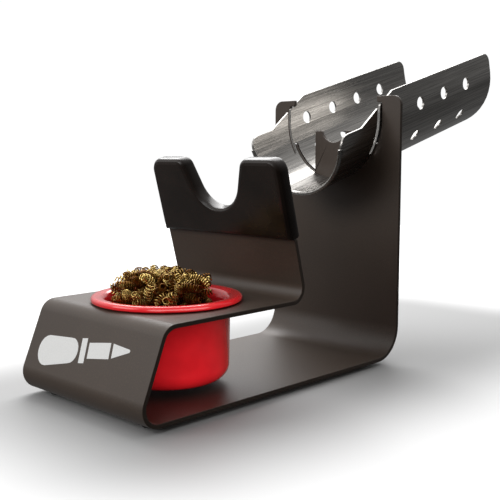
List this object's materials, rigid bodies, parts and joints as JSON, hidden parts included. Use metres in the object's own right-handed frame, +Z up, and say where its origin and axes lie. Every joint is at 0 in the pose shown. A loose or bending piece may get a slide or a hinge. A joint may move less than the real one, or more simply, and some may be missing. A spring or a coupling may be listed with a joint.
{
  "type": "soldering iron station",
  "caption": "Bent-sheet soldering iron rest with a vented steel guard trough, a silicone-sleeved handle rest and a drop-in cup of brass wool.",
  "frame": {"origin": "on the surface the feet stand on, at the middle of the bounding box", "axes": "+Z up, +Y towards the raised rear end of the guard trough, +X to the right seen from the front panel"},
  "size_m": [0.084, 0.2822, 0.1636],
  "materials": {
    "powder_coat": "satin warm dark grey powder coat on bent steel sheet",
    "stainless": "brushed along the trough",
    "silicone": "satin black moulded silicone",
    "red_cup": "gloss red",
    "brass_wool": "loose tangle of coiled brass ribbon",
    "foot_rubber": "matte black"
  },
  "bodies": {
    "stand": {"frame": "powder_coat", "guard_trough": "stainless", "foot_front_left": "foot_rubber", "foot_front_right": "foot_rubber", "foot_rear_left": "foot_rubber", "foot_rear_right": "foot_rubber"},
    "cup": {"cleaner_cup": "red_cup"},
    "wool": {"brass_wool": "brass_wool"},
    "rest_sleeve": {"handle_rest_pad": "silicone"}
  },
  "joints": [
    {"name": "cup_lift", "type": "slide", "parent": "stand", "child": "cup", "axis": [0, 0, 1], "range_m": [0, 0.02]},
    {"name": "wool_lift", "type": "slide", "parent": "cup", "child": "wool", "axis": [0, 0, 1], "range_m": [0, 0.036]},
    {"name": "sleeve_pull", "type": "slide", "parent": "stand", "child": "rest_sleeve", "axis": [0, -0.2521, 0.9677], "range_m": [0, 0.036]}
  ]
}
